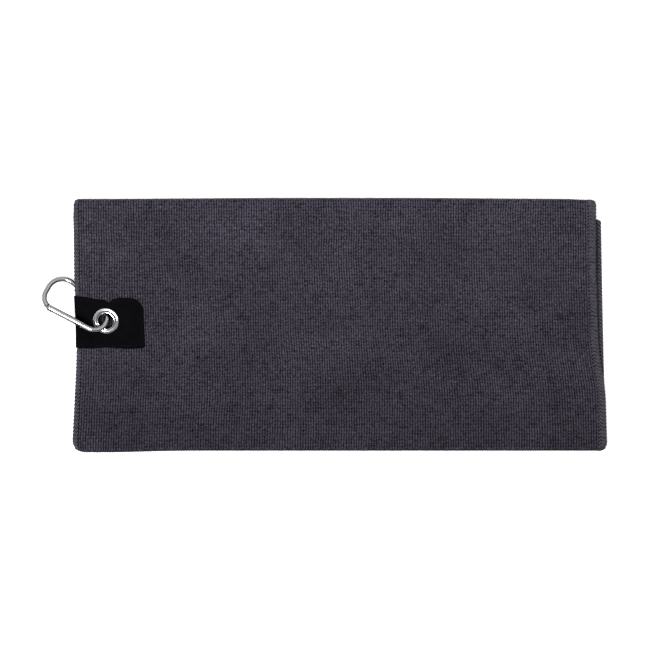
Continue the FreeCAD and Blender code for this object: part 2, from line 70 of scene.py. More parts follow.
# --- the sheet, as in the CAD source ---
CLOTH = 1.2 * MM
LAYER_GAP = 0.2 * MM
FOLD_HINGE = joints["outer_layer_unfold"]["pos_m"]  # on the lower fold's outermost line
HALF_WIDTH = -FOLD_HINGE[1]
FOLD_R = FOLD_HINGE[2]
FOLD_Y = HALF_WIDTH - FOLD_R
FOLD_MID = FOLD_R - CLOTH / 2                       # radius of the middle of the cloth in a fold
END_PULL = (-186.2 * MM, -19.0 * MM)                # where the raised tab draws the left end in furthest
END_SLOPE = (0.054, 0.026)                          # how fast it comes back, towards either fold
END_EASE = 14.0 * MM
PEEK = (-0.5 * MM, 0.6 * MM)                        # inner layer past the front's left end, low and high
PEEK_Y = (30.0 * MM, 60.0 * MM)
PANEL_RIGHT = 203.9 * MM                            # front layer's right end at the upper fold
RIGHT_SLANT = (0.030, 45.0 * MM)                    # slope of that end, and the Y that it starts from
RIGHT_STEP = (4.2 * MM, -8.0 * MM, -58.0 * MM)      # and its bulge over the outer layer: size and Y range
INNER_RIGHT = (205.0 * MM, 203.2 * MM)              # right ends at the lower fold and at the upper fold
OUTER_RIGHT = (211.7 * MM, 207.7 * MM)
OUTER_HOLLOW = 0.4 * MM
INNER_FREE_EDGE = -89.5 * MM
OUTER_FREE_EDGE = 79.4 * MM
INNER_CLIMB = (86.5 * MM, 81.5 * MM)
OUTER_Z = 0.0
INNER_Z = OUTER_Z + CLOTH + LAYER_GAP
PANEL_Z = INNER_Z + CLOTH + LAYER_GAP
CORNER_R = {
    "lower_left": 10.0 * MM,
    "lower_right": 6.5 * MM,
    "upper_left": 5.0 * MM,
    "upper_right": 4.2 * MM,
}
FREE_CORNER_R = 2.2 * MM
UPPER_BOW = (0.55 * MM, 0.75 * MM, 10.0 * MM, 40.0 * MM, 185.0 * MM)    # height, drop, middle and X range
UPPER_DROOP = (0.8 * MM, 180.0 * MM, 202.0 * MM)    # further drop towards the right end
LOWER_BOW = (0.4 * MM, 1.2 * MM, -170.0 * MM, -100.0 * MM)      # lift, and its fall over this X range
BOW_REACH = (40.0 * MM, 93.0 * MM)                  # the bows grow from none to all over this distance
OWN_END = 12.0 * MM                                 # run past a fold where a layer's end leaves the front's
OUTER_BOW_Y = (-60.0 * MM, -30.0 * MM)              # the outer layer loses the fold's bow over this

# --- eyelet and clip ---
EYE = joints["clip_swing"]["pos_m"]                 # the clip swings about the middle of the eyelet
EYE_TILT_DEG = 17.0
EYE_HOLE = 7.2 * MM                                 # hole in cloth and tape, under the flange
HEADING = math.radians(152.5)                       # of the clip, from +X
ACROSS = (math.sin(HEADING), -math.cos(HEADING))    # the raised cloth climbs this way

# --- how the cloth is held up by the clip ---
EYE_SLOPE = math.tan(math.radians(EYE_TILT_DEG))
RISE_TOP = 3.5 * MM
RISE_EASE = 0.5 * MM
DIP_LEVEL = -1.6 * MM
DIP_SLOPE = 0.46
DIP_TOP = 0.7 * MM
DIP_EASE = 1.0 * MM
DIP_X = (-14.5 * MM, -8.8 * MM)
FALL_X = (12.5 * MM, 62.0 * MM)
FALL_Y = (34.0 * MM, 84.0 * MM)
RISE_Y = (-46.0 * MM, -11.0 * MM)
PILE_LIFT = 0.4 * MM
PILE_EASE = 0.8 * MM

# --- knit ---
RIBS = 209
RIB_PROFILE = np.array([0.0, 0.72, 1.0, 0.72])      # groove, flank, crest, flank
RIB_DEPTH = 0.42 * MM
RIB_LEVEL = 0.62                                    # share of the rib below the cloth's mean surface
RIB_DRIFT = 0.30 * MM                               # how far a rib wanders sideways
DRIFT_HOLD = 8.0 * MM                               # and not at all at the ends
CRUSHED = 0.7                                       # rib height under the overlocked thread
CRUSH_EASE = (0.7, 1.0)                             # it is back to full over this share of the hem's band
LOOP_PITCH = 2.4 * MM
SHEET_WIDTH = 400.0 * MM
STEP = 0.2 * MM                                     # distance for slopes and normals
WAVE_HEIGHT = 0.55 * MM                             # soft hollows and swells of the front layer
WAVE_HOLD = (74.0 * MM, 91.0 * MM)                  # they fade out over this distance from its middle
NOISE_TABLE = 128
# Layers of noise: cell size along both directions, seed and share.
DRIFT_NOISE = ((34.0 * MM, 26.0 * MM, 11, 1.6), (7.0 * MM, 5.5 * MM, 12, 0.8))
WAVE_NOISE = ((70.0 * MM, 48.0 * MM, 21, 0.33), (24.0 * MM, 30.0 * MM, 22, 0.17))
WAVE_MEAN = 0.5
RIB_NOISE = ((1.0, 2.1 * MM, 31, 0.34), (3.0, 6.0 * MM, 32, 0.12))      # across, in ribs

# --- mesh density: count of rows, and width and strength of the crowding round the eyelet ---
FRONT_ROWS = (98, 24.0 * MM, 1.4)
BACK_ROWS = (16, 30.0 * MM, 1.0)
TAB_ROWS = (92, 9.0 * MM, 1.5)
TAB_COLUMNS = (66, 0.25, 1.2)
LAYER_ROWS = (55, 10)                               # face and back of a turned-in layer, past its fold
FOLD_ROWS = 25
TAB_TURN_ROWS = 13

# --- tape tab ---
TAPE = 0.34 * MM
TAPE_GAP = 0.12 * MM
TAB_END = -135.0 * MM
TAB_LEAN = 0.045                                    # its right end leans back towards its upper edge
TAB_TOP = 22.1 * MM
TAB_BOTTOM = -17.2 * MM
TAB_FALL = (2.9 * MM, -191.0 * MM, -165.0 * MM)     # its upper edge comes down by this over this X range
TAB_DIP = (2.0 * MM, -161.9 * MM, 2.7 * MM)         # the pucker in it: depth, place and width
TAB_SWELL = (1.1 * MM, -162.0 * MM, -153.0 * MM)    # and it rises again
TAB_RIPPLE = (0.45 * MM, -171.0 * MM, 5.0 * MM)     # its lower edge waves: height, phase and length / 2 pi
TAB_CORNER_R = {"upper": 10.0 * MM, "lower": 1.8 * MM}
TAB_MIDDLE = 0.53                                   # the eyelet's place across the tab
TAB_SINK = 0.1 * MM                                 # how far it presses the cloth down
TAB_PRESS = {                                       # where, from its lower, upper and right edges
    "low": (-0.4 * MM, 0.6 * MM),
    "high": (-2.0 * MM, -0.6 * MM),
    "end": (-1.0 * MM, 0.2 * MM),
}
SELVEDGE = (0.55, 0.006)                            # the tape thins by this share over this share of its width
STITCH_INSET = 2.2 * MM
STITCH_PITCH = 3.2 * MM
STITCH_LENGTH = 2.3 * MM
STITCH_R = 0.17 * MM
STITCH_POINTS = 7
STITCH_ARCH = 0.3 * MM
STITCH_DEPTH = 0.45                                 # share of the arch that is sunk in the tape

# --- overlocked edges ---
THREAD_R = 0.30 * MM
LOCK_PITCH = 2.7 * MM
LOCK_BAND = {"left": 3.0 * MM, "right": 5.2 * MM, "long": 3.4 * MM}
LOCK_SLANT = {"left": -1.0, "right": 1.0, "long": 1.0}      # in stitches, from the edge to the needle line
LOCK_LIFT = 0.4 * THREAD_R                          # the thread stands this far proud of the cloth
LOCK_ROUTE = np.array([                             # share of the stitch, share of the band's width, side
    (0.00, 1.0, 1), (0.16, 0.5, 1), (0.32, 0.05, 1), (0.40, -0.08, 0), (0.48, 0.05, -1), (0.62, 0.6, -1),
    (0.74, 0.05, -1), (0.80, -0.08, 0), (0.86, 0.05, 1), (0.94, 0.5, 1),
])
NEEDLE_LINE = 1.06                                  # share of the band's width where the needle thread runs
NEEDLE_SPAN = np.linspace(0.2, 0.8, 6)              # share of the stitch that it shows for
NEEDLE_ARCH = 1.2 * THREAD_R
LONG_RUN = (0.004, 0.996)                           # share of a long edge between its corners
SHADOW_BEAD_R = 0.62 * MM                                   # painted shadow: dark beads at the needle line and at the edge, where the thread loops shade the cloth
SHADOW_BEAD_SINK = 0.20 * MM
SHADOW_BEAD_LENGTH = 0.5 * MM
SHADOW_BEAD_SHAPE = np.array([0.6, 0.9, 1.0, 0.9, 0.6])     # its radius from end to end

# --- the clip's return spring ---
SPRING_WIRE_R = 0.17 * MM
SPRING_R = 0.85 * MM
SPRING_PITCH = 0.75 * MM
SPRING_LENGTH = 6.0 * MM
SPRING_SEGMENTS = 16                                # per turn

# --- looks. Noise is its cell's size along both directions, its detail and its roughness ---
NOISE_RANGE = (0.3, 0.7)
CLOTH_COLOUR = (0.0560, 0.0505, 0.0690, 1)
# painted shade: the colour painted into the grooves between the ribs
CLOTH_GROOVE_SHADE = (0.0020, 0.0015, 0.0025, 1)
PAINTED_LIGHT_FADE = (0.82, 1.26)                                 # painted light and shade: the cloth's colour is painted darker towards the lower fold and lighter towards the upper one
SHEEN_TINT = (0.62, 0.58, 0.70, 1)
GROOVE_RIBS = (0.10, 0.95)                          # painted shade in the grooves: from the groove's painted dark to the crest's colour over this rib height
# how much the grooves' painted shade comes and goes with the loops along each rib
GROOVE_WAVE = 0.22
LOOP_DRIFT = (3.5 * MM, 3.0 * MM)
LOOP_SHADE = (0.84, 1.16)
TUFTS = (1.0 * MM, 2.3 * MM, 3.0, 0.65)
TUFT_RANGE = (0.31, 0.69)
TUFT_SHADE = (0.40, 1.60)
PATCHES = (7.0 * MM, 9.0 * MM, 3.0, 0.6)
PATCH_SHADE = (0.95, 1.05)
CLOUDS = (60.0 * MM, 45.0 * MM)
CLOUD_SHADE = (0.84, 1.16)
PILE_BUMP = 0.45 * MM
HEM_COLOUR = (0.088, 0.082, 0.097, 1)
# painted shadow between the hem's thread loops
SHADOW_BEAD_COLOUR = (0.006, 0.005, 0.007, 1)
HEM_TWIST = 0.35 * MM
SEAM_COLOUR = (0.0035, 0.0032, 0.0038, 1)
SEAM_TWIST = 0.25 * MM
THREAD_BUMP = 0.1 * MM
TAPE_COLOUR = (0.0024, 0.0021, 0.0027, 1)
WARP_PITCH = 0.62 * MM
WEFT_PITCH = 0.85 * MM
SLUBS = (6.0 * MM, 0.5 * MM, 3.0, 0.6)
TAPE_CLOUDS = (9.0 * MM, 7.0 * MM)
TAPE_BUMP = 0.06 * MM
METAL_EDGE_TINT = (0.12, 0.12, 0.14, 1)
WEAR = (3.0 * MM, 3.0 * MM, 3.0, 0.6)
FLANK_RANGE = (0.3, 0.85)                           # painted dark reflection: the metal's colour darkens as its surface turns from level to upright
FLANK_SHADE = (0.16, 1.0)
METALS = {                                          # colour, roughness, scratch depth, grain along X and Y
    "nickel_plate": ((0.86, 0.85, 0.85, 1), 0.10, 0.01 * MM, (0.3 * MM, 0.3 * MM)),
    "polished_wire": ((0.50, 0.49, 0.51, 1), 0.11, 0.01 * MM, (0.25 * MM, 0.9 * MM)),
    "polished_gate": ((0.55, 0.55, 0.56, 1), 0.11, 0.01 * MM, (0.2 * MM, 0.2 * MM)),
    "rivet_steel": ((0.45, 0.45, 0.46, 1), 0.28, 0.02 * MM, (0.2 * MM, 0.2 * MM)),
    "spring_steel": ((0.42, 0.42, 0.43, 1), 0.3, 0.02 * MM, (0.1 * MM, 0.1 * MM)),
}
WORN = {
    "grommet_eyelet": "nickel_plate",
    "grommet_washer": "nickel_plate",
    "carabiner_frame": "polished_wire",
    "carabiner_gate": "polished_gate",
    "gate_pivot_pin": "rivet_steel",
    "gate_latch_pin": "rivet_steel",
    "gate_plunger": "rivet_steel",
}
FLOOR_COLOUR = (0.88, 0.88, 0.88, 1)
FLOOR_CLOUDS = (0.4, 0.4)

# --- studio ---
CAMERA_LENS = 135.0                                 # both in millimetres, as Blender has them
CAMERA_SENSOR = 36.0
VIEW_WIDTH = 0.4895
SKY_TOP = 0.55                                      # grey of the studio overhead
SKY = ((0.10, 0.9), (0.17, 0.12), (0.38, 0.15), (0.62, 0.50))     # lower down, by the sine of the elevation
SIDES_Y = (-0.5, 0.3)                               # the studio's strength changes with Y over this
SIDES = (0.45, 1.70)                                # from this to this
FLOOR_GLOW = 0.65                                   # the floor's own light, which softens shadows
FLOOR_DROP = -0.6 * MM                              # room for the pile under the lowest layer
FLOOR_HALF = 6.0
KEY_PLACE = (-0.46, -0.49, 1.71)
KEY_SIZE = 0.7
KEY_POWER = 28


def smooth(value, start, end):
    t = np.clip((value - start) / (end - start), 0.0, 1.0)
    return t * t * (3 - 2 * t)


def soft_min(a, b, ease):
    return (a + b - np.hypot(a - b, ease)) / 2


def soft_max(a, b, ease):
    return (a + b + np.hypot(a - b, ease)) / 2


def drape(x, y):
    """Height of the underside of the front layer, as in the CAD source."""
    dx = x - EYE[0]
    dy = y - EYE[1]
    across = dx * ACROSS[0] + dy * ACROSS[1]
    on_eyelet = soft_min(EYE_SLOPE * across, RISE_TOP, RISE_EASE)
    in_dip = soft_min(DIP_LEVEL + DIP_SLOPE * across, DIP_TOP, DIP_EASE)
    share = smooth(dx, *DIP_X)
    lift = EYE[2] + share * on_eyelet + (1 - share) * in_dip - CLOTH / 2 - PANEL_Z
    reach = (1 - smooth(dx, *FALL_X)) * (1 - smooth(dy, *FALL_Y)) * smooth(dy, *RISE_Y)
    return PANEL_Z + soft_max(lift, PILE_LIFT, PILE_EASE) * reach


@functools.lru_cache
def noise_table(seed):
    return np.random.default_rng(seed).uniform(-1, 1, (NOISE_TABLE, NOISE_TABLE))


def noise(x, y, cell_x, cell_y, seed):
    """Smooth random values from -1 to 1, with cells of that size."""
    table = noise_table(seed)
    gx, gy = np.broadcast_arrays(x / cell_x, y / cell_y)
    ix, iy = np.floor(gx).astype(int), np.floor(gy).astype(int)
    fx, fy = smooth(gx - ix, 0, 1), smooth(gy - iy, 0, 1)
    ix, iy, jx, jy = (i % NOISE_TABLE for i in (ix, iy, ix + 1, iy + 1))
    low = table[ix, iy] * (1 - fx) + table[jx, iy] * fx
    high = table[ix, jy] * (1 - fx) + table[jx, jy] * fx
    return low * (1 - fy) + high * fy


def noise_sum(x, y, layers):
    return sum(share * noise(x, y, cell_x, cell_y, seed) for cell_x, cell_y, seed, share in layers)


def end_x(pair, y):
    """X of a cloth end, given at the lower and at the upper fold."""
    return pair[0] + (pair[1] - pair[0]) * (y + FOLD_Y) / (2 * FOLD_Y)


def left_end(y):
    """X of the left end, drawn in by the raised tab."""
    off = y - END_PULL[1]
    below = soft_max(-off, 0, END_EASE) * END_SLOPE[0]
    above = soft_max(off, 0, END_EASE) * END_SLOPE[1]
    return END_PULL[0] - below - above


def inner_left_end(y):
    return left_end(y) - PEEK[0] - (PEEK[1] - PEEK[0]) * smooth(y, *PEEK_Y)


def right_end(y):
    """X of the front layer's right end."""
    slant = RIGHT_SLANT[0] * np.clip(RIGHT_SLANT[1] - y, 0, None)
    return PANEL_RIGHT + slant + RIGHT_STEP[0] * smooth(-y, -RIGHT_STEP[1], -RIGHT_STEP[2])


def outer_right_end(y):
    share = (y + FOLD_Y) / (2 * FOLD_Y)
    return end_x(OUTER_RIGHT, y) - OUTER_HOLLOW * 4 * share * (1 - share)


def bowed(x, y):
    """The long folds aren't quite straight: moves Y near them."""
    height, drop, middle, low, high = UPPER_BOW
    droop, start, end = UPPER_DROOP
    upper = height - drop * smooth(np.abs(x - middle), low, high) - droop * smooth(x, start, end)
    lift, fall, left, right = LOWER_BOW
    lower = lift - fall * (1 - smooth(x, left, right))
    return y + upper * smooth(y, *BOW_REACH) + lower * smooth(-y, *BOW_REACH)


def pull_corner(x, y, end, side, edge, up, radius):
    """Rounds the corner between a cloth end and a long edge, seen from above."""
    a = np.clip(1 - side * (end - x) / radius, 0, None)
    b = np.clip(1 - up * (edge - y) / radius, 0, None)
    inside = (a > 0) & (b > 0)
    a_round = a * np.sqrt(np.clip(1 - b * b / 2, 0.2, 1))
    b_round = b * np.sqrt(np.clip(1 - a * a / 2, 0.2, 1))
    new_x = np.where(inside, end - side * radius * (1 - a_round), x)
    new_y = np.where(inside, edge - up * radius * (1 - b_round), y)
    return new_x, new_y


def pull_corners(x, y, left, right, edge, up, left_radius, right_radius):
    """Rounds the corners at both ends of a long edge."""
    x, y = pull_corner(x, y, left, -1, edge, up, left_radius)
    return pull_corner(x, y, right, 1, edge, up, right_radius)


def rib_drift(u, s):
    """Sideways wander of the ribs; none at the ends."""
    x = u * SHEET_WIDTH
    hold = smooth(x, 0, DRIFT_HOLD) * (1 - smooth(x, SHEET_WIDTH - DRIFT_HOLD, SHEET_WIDTH))
    return RIB_DRIFT * hold * noise_sum(x, s, DRIFT_NOISE)


def wave(x, y):
    """Swells of the front layer, never below the flat sheet and none at its folds."""
    hold = 1 - smooth(np.abs(y), *WAVE_HOLD)
    return WAVE_HEIGHT * hold * (WAVE_MEAN + noise_sum(x, y, WAVE_NOISE))


def front_place(u, s):
    """Middle surface of the front layer. s is Y, from the lower fold to the upper."""
    u, y = np.broadcast_arrays(u, s)
    left, right = left_end(y), right_end(y)
    x = left + (right - left) * u + rib_drift(u, s)
    z = drape(x, y) + CLOTH / 2 + wave(x, y)
    x, y = pull_corners(x, y, left, right, -HALF_WIDTH, -1, CORNER_R["lower_left"], CORNER_R["lower_right"])
    x, y = pull_corners(x, y, left, right, HALF_WIDTH, 1, CORNER_R["upper_left"], CORNER_R["upper_right"])
    return np.stack([x, bowed(x, y), z], -1)


def folded(s, side):
    """Y and Z of the middle of the cloth, s past the front layer's edge and round its fold."""
    angle = np.clip(s / FOLD_MID, 0, math.pi)
    run = np.clip(s - math.pi * FOLD_MID, 0, None)
    return side * (FOLD_Y + FOLD_MID * np.sin(angle) - run), FOLD_R + FOLD_MID * np.cos(angle), run


INNER_LENGTH = math.pi * FOLD_MID + FOLD_Y - INNER_FREE_EDGE
OUTER_LENGTH = math.pi * FOLD_MID + OUTER_FREE_EDGE + FOLD_Y


def inner_place(u, s):
    """Middle surface of the upper fold and the layer that it turns in."""
    u, s = np.broadcast_arrays(u, s)
    y, z, run = folded(s, 1)
    z = z + (INNER_Z - OUTER_Z) * smooth(run, FOLD_Y - INNER_CLIMB[0], FOLD_Y - INNER_CLIMB[1])
    own = smooth(run, 0, OWN_END)
    left = left_end(y) * (1 - own) + inner_left_end(y) * own
    right = right_end(y) * (1 - own) + end_x(INNER_RIGHT, y) * own
    x = left + (right - left) * u + rib_drift(u, FOLD_Y + s)
    x, y = pull_corners(x, y, left, right, HALF_WIDTH, 1, CORNER_R["upper_left"], CORNER_R["upper_right"])
    x, y = pull_corners(x, y, left, right, INNER_FREE_EDGE, -1, FREE_CORNER_R, FREE_CORNER_R)
    return np.stack([x, bowed(x, y), z], -1)


def outer_place(u, s):
    """Middle surface of the lower fold and the layer that it turns in last."""
    u, s = np.broadcast_arrays(u, s)
    y, z, run = folded(s, -1)
    own = smooth(run, 0, OWN_END)
    left = left_end(y) - PEEK[0] * own
    right = right_end(y) * (1 - own) + outer_right_end(y) * own
    x = left + (right - left) * u + rib_drift(u, -FOLD_Y - s)
    x, y = pull_corners(x, y, left, right, -HALF_WIDTH, -1, CORNER_R["lower_left"], CORNER_R["lower_right"])
    x, y = pull_corners(x, y, left, right, OUTER_FREE_EDGE, 1, FREE_CORNER_R, FREE_CORNER_R)
    near_fold = 1 - smooth(y, *OUTER_BOW_Y)
    return np.stack([x, y + (bowed(x, y) - y) * near_fold, z], -1)


def normals(place, u, s, face):
    """Unit normals of a placed surface; face is 1 or -1 and picks the side."""
    h = STEP / SHEET_WIDTH
    along = place(np.clip(u + h, 0, 1), s) - place(np.clip(u - h, 0, 1), s)
    up = place(u, s + STEP) - place(u, s - STEP)
    n = np.cross(along, up) * face
    return n / np.linalg.norm(n, axis=-1, keepdims=True)


def eyelet_axis():
    """A point on the eyelet's axis and the axis's direction."""
    axis = np.array([-EYE_SLOPE * ACROSS[0], -EYE_SLOPE * ACROSS[1], 1.0])
    return np.array(EYE), axis / np.linalg.norm(axis)


def off_axis(points):
    """Vectors from the eyelet's axis to the points, square to it, and their lengths."""
    centre, axis = eyelet_axis()
    away = points - centre
    away = away - (away @ axis)[..., None] * axis
    return away, np.linalg.norm(away, axis=-1)


def grid_faces(rows, cols, first):
    """Corners of the quads of a grid whose points are numbered row by row from first."""
    r, c = np.meshgrid(np.arange(rows - 1), np.arange(cols - 1), indexing="ij")
    a = first + r * cols + c
    return np.stack([a, a + 1, a + cols + 1, a + cols], -1).reshape(-1, 4)


def zip_loops(low, low_at, high, high_at):
    """Triangles between two rows of points, each ordered by its place along the rim."""
    faces = []
    i = j = 0
    while i < len(low) - 1 or j < len(high) - 1:
        step_low = j == len(high) - 1 or (i < len(low) - 1 and low_at[i + 1] <= high_at[j + 1])
        if step_low:
            faces.append((low[i], low[i + 1], high[j]))
            i += 1
        else:
            faces.append((low[i], high[j + 1], high[j]))
            j += 1
    return faces


def new_mesh(name, points, faces):
    mesh = bpy.data.meshes.new(name)
    mesh.from_pydata([tuple(p) for p in points], [], [tuple(f) for f in faces])
    mesh.update()
    mesh.shade_smooth()
    obj = bpy.data.objects.new(name, mesh)
    bpy.context.scene.collection.objects.link(obj)
    return obj


def face_outward(obj):
    bm = bmesh.new()
    bm.from_mesh(obj.data)
    bmesh.ops.delete(bm, geom=[v for v in bm.verts if not v.link_faces], context="VERTS")
    bmesh.ops.recalc_face_normals(bm, faces=bm.faces)
    bm.to_mesh(obj.data)
    bm.free()


def sharpen(obj, rims):
    """Marks the edges between points of one rim as sharp, so that the walls don't shade the faces."""
    mesh = obj.data
    edges = np.empty(len(mesh.edges) * 2, int)
    mesh.edges.foreach_get("vertices", edges)
    edges = edges.reshape(-1, 2)
    sharp = np.zeros(len(edges), bool)
    for rim in rims:
        on_rim = np.zeros(len(mesh.vertices), bool)
        on_rim[list(rim)] = True
        sharp |= on_rim[edges[:, 0]] & on_rim[edges[:, 1]]
    mesh.attributes.new("sharp_edge", "BOOLEAN", "EDGE").data.foreach_set("value", sharp)


def lay_flat(obj, spread):
    """Stores each point's place on the flat sheet, in metres, as the layer that the materials read."""
    loops = np.empty(len(obj.data.loops), int)
    obj.data.loops.foreach_get("vertex_index", loops)
    layer = obj.data.uv_layers.new(name="sheet")
    layer.data.foreach_set("uv", spread[loops].astype(np.float32).reshape(-1))


def rim_of(rows, cols, first):
    index = first + np.arange(rows * cols).reshape(rows, cols)
    return np.concatenate([index[0], index[-1], index[:, 0], index[:, -1]])


def under_tab(points):
    """1 under the tape and 0 away from it."""
    x, y = points[..., 0], points[..., 1]
    low = smooth(y - TAB_BOTTOM, *TAB_PRESS["low"])
    high = 1 - smooth(y - tab_edges(x)[1], *TAB_PRESS["high"])
    return low * high * (1 - smooth(x - TAB_END, *TAB_PRESS["end"]))


def ribs(u, s, phase):
    """Rib height from 0 in a groove to 1 on a crest, uneven along each rib and pressed flat in the hems."""
    column = np.arange(u.shape[-1]) + phase
    height = RIB_PROFILE[column % len(RIB_PROFILE)]
    inset = np.minimum(u * SHEET_WIDTH / LOCK_BAND["left"], (1 - u) * SHEET_WIDTH / LOCK_BAND["right"])
    height = height + (CRUSHED - height) * (1 - smooth(inset, *CRUSH_EASE))
    return height * (1 + noise_sum(u * RIBS, s, RIB_NOISE))


def make_cloth(name, place, face, rows_s, back_s, sheet_s, hole=False):
    """Ribbed sheet of cloth, closed all round. sheet_s turns s into the place along the whole sheet.
    Each side's ribs stand over the other side's grooves."""
    cols = 4 * RIBS + 1
    u = np.linspace(0, 1, cols)[None, :]
    points, rib_values, flat, quads, kept_rims = [], [], [], [], []
    first = 0
    for side, places in ((1, rows_s), (-1, back_s)):
        s = np.asarray(places)[:, None]
        middle = place(u, s)
        normal = normals(place, u, s, face * side)
        rib = ribs(u, sheet_s(s), 0 if side == 1 else 2)
        pressed = under_tab(middle)
        lift = CLOTH / 2 + RIB_DEPTH * (rib - RIB_LEVEL) * (1 - pressed) - TAB_SINK * pressed
        skin = middle + normal * lift[..., None]
        faces = grid_faces(len(places), cols, first)
        if hole:
            away, distance = off_axis(skin)
            inside = (distance < EYE_HOLE).reshape(-1)
            gone = inside[faces - first].any(1)
            rim = np.zeros(len(inside), bool)
            rim[faces[gone] - first] = True
            rim &= ~inside
            snapped = middle + (EYE_HOLE / distance - 1)[..., None] * away
            skin = np.where(rim.reshape(distance.shape)[..., None], snapped, skin)
            faces = faces[~gone]
        points.append(skin.reshape(-1, 3))
        rib_values.append(rib.reshape(-1))
        flat.append(np.stack(np.broadcast_arrays(u * SHEET_WIDTH, sheet_s(s)), -1).reshape(-1, 2))
        quads.append(faces)
        kept_rims.append(rim_of(len(places), cols, first))
        first += skin.shape[0] * skin.shape[1]
    top = np.arange(len(rows_s) * cols).reshape(-1, cols)
    back = len(rows_s) * cols + np.arange(len(back_s) * cols).reshape(-1, cols)
    walls = []
    for row in (0, -1):
        walls += [(top[row, c], top[row, c + 1], back[row, c + 1], back[row, c]) for c in range(cols - 1)]
    for col in (0, -1):
        walls += zip_loops(list(top[:, col]), list(rows_s), list(back[:, col]), list(back_s))
    faces = [tuple(q) for block in quads for q in block] + walls
    obj = new_mesh(name, np.concatenate(points), faces)
    sharpen(obj, kept_rims)
    attribute = obj.data.attributes.new("rib", "FLOAT", "POINT")
    attribute.data.foreach_set("value", np.concatenate(rib_values).astype(np.float32))
    lay_flat(obj, np.concatenate(flat))
    face_outward(obj)
    return obj


def crowded(low, high, centre, count, width, extra):
    """Places from low to high, closer together near centre."""
    fine = np.linspace(low, high, 2001)
    weight = 1 + extra * np.exp(-(((fine - centre) / width) ** 2))
    total = np.concatenate([[0], np.cumsum((weight[1:] + weight[:-1]) / 2)])
    return np.interp(np.linspace(0, total[-1], count), total, fine)


def fold_rows(length, count):
    """Places along a turned-in layer, close together round its fold."""
    arc = math.pi * FOLD_MID
    return np.concatenate([np.linspace(0, arc, FOLD_ROWS), np.linspace(arc, length, count)[1:]])


def tube(path, radius, sides=6):
    """Points and faces of a round thread along a path, with closed ends."""
    path = np.asarray(path, float)
    ahead = np.gradient(path, axis=0)
    ahead /= np.linalg.norm(ahead, axis=1, keepdims=True)
    side = np.cross(ahead[0], [0.3, 0.5, 0.81])
    sides_at = []
    for t in ahead:
        side = side - t * (side @ t)
        side /= np.linalg.norm(side)
        sides_at.append(side)
    sides_at = np.array(sides_at)
    other = np.cross(ahead, sides_at)
    turn = np.linspace(0, 2 * math.pi, sides, endpoint=False)
    ring = np.cos(turn)[None, :, None] * sides_at[:, None] + np.sin(turn)[None, :, None] * other[:, None]
    points = (path[:, None] + ring * np.broadcast_to(radius, len(path))[:, None, None]).reshape(-1, 3)
    faces = []
    for i in range(len(path) - 1):
        for k in range(sides):
            a, b = i * sides + k, i * sides + (k + 1) % sides
            faces.append((a, b, b + sides, a + sides))
    faces.append(tuple(range(sides))[::-1])
    last = (len(path) - 1) * sides
    faces.append(tuple(range(last, last + sides)))
    return points, faces


def joined(name, parts):
    """One object from several lists of points and faces."""
    points, faces, first = [], [], 0
    for part_points, part_faces in parts:
        points.append(part_points)
        faces += [tuple(i + first for i in f) for f in part_faces]
        first += len(part_points)
    return new_mesh(name, np.concatenate(points), faces)


def hem_shadow_beads(place, face, edge, start, end, count, depth):
    """Painted shadow: dark beads between the stitches of a hem, in a row at that depth from the edge, where
    the thread loops shade the cloth.
    """
    parts = []
    reach = np.linspace(-1, 1, len(SHADOW_BEAD_SHAPE)) * SHADOW_BEAD_LENGTH / LOCK_PITCH
    for i in range(1, count):
        t = start + (end - start) * (i + reach) / count
        u, s = edge(t, np.full(len(t), depth))
        path = place(u, s) + normals(place, u, s, face) * (CLOTH / 2 - SHADOW_BEAD_SINK)
        parts.append(tube(path, SHADOW_BEAD_R * SHADOW_BEAD_SHAPE))
    return parts


def overlock(name, place, face, edge, runs, band, slant):
    """Thread round a cut edge. edge(t, depth) gives (u, s) that deep inside the edge at t of its length.
    runs are stretches of the edge: start, end and length in metres. The painted-shadow beads come last in the
    mesh and take the second material."""
    parts, shadow_beads = [], []
    top = CLOTH / 2 + RIB_DEPTH * (CRUSHED - RIB_LEVEL) + LOCK_LIFT
    arch = np.sin(np.linspace(0, math.pi, len(NEEDLE_SPAN))) ** 0.5 * NEEDLE_ARCH
    for start, end, length in runs:
        stitches = int(length / LOCK_PITCH)
        order = np.arange(stitches)[:, None]
        moved = order + LOCK_ROUTE[:, 0] + slant * np.clip(LOCK_ROUTE[:, 1], 0, None)
        t = start + (end - start) * np.clip(moved / stitches, 0, 1).reshape(-1)
        depth = np.tile(LOCK_ROUTE[:, 1], stitches) * band
        side = np.tile(LOCK_ROUTE[:, 2], stitches)
        u, s = edge(t, np.clip(depth, 0, None))
        inner_u, inner_s = edge(t, np.clip(depth, 0, None) + band / 4)
        middle = place(u, s)
        out = middle - place(inner_u, inner_s)
        out /= np.linalg.norm(out, axis=1, keepdims=True)
        normal = normals(place, u, s, face)
        path = middle + normal * (side * top)[:, None] + out * np.clip(-depth, 0, None)[:, None]
        parts.append(tube(smoothed(path, 2), THREAD_R))
        for i in range(stitches):
            t = start + (end - start) * (i + NEEDLE_SPAN) / stitches
            u, s = edge(t, np.full(len(t), band * NEEDLE_LINE))
            path = place(u, s) + normals(place, u, s, face) * (CLOTH / 2 - RIB_DEPTH / 3 + arch)[:, None]
            parts.append(tube(path, THREAD_R))
        shadow_beads += hem_shadow_beads(place, face, edge, start, end, stitches, band * NEEDLE_LINE)
        shadow_beads += hem_shadow_beads(place, face, edge, start, end, stitches, 0.0)
    hem = joined(name, parts + shadow_beads)
    dark_faces = sum(len(faces) for _, faces in shadow_beads)
    slots = np.zeros(len(hem.data.polygons), int)
    slots[-dark_faces:] = 1
    hem.data.polygons.foreach_set("material_index", slots)
    return hem


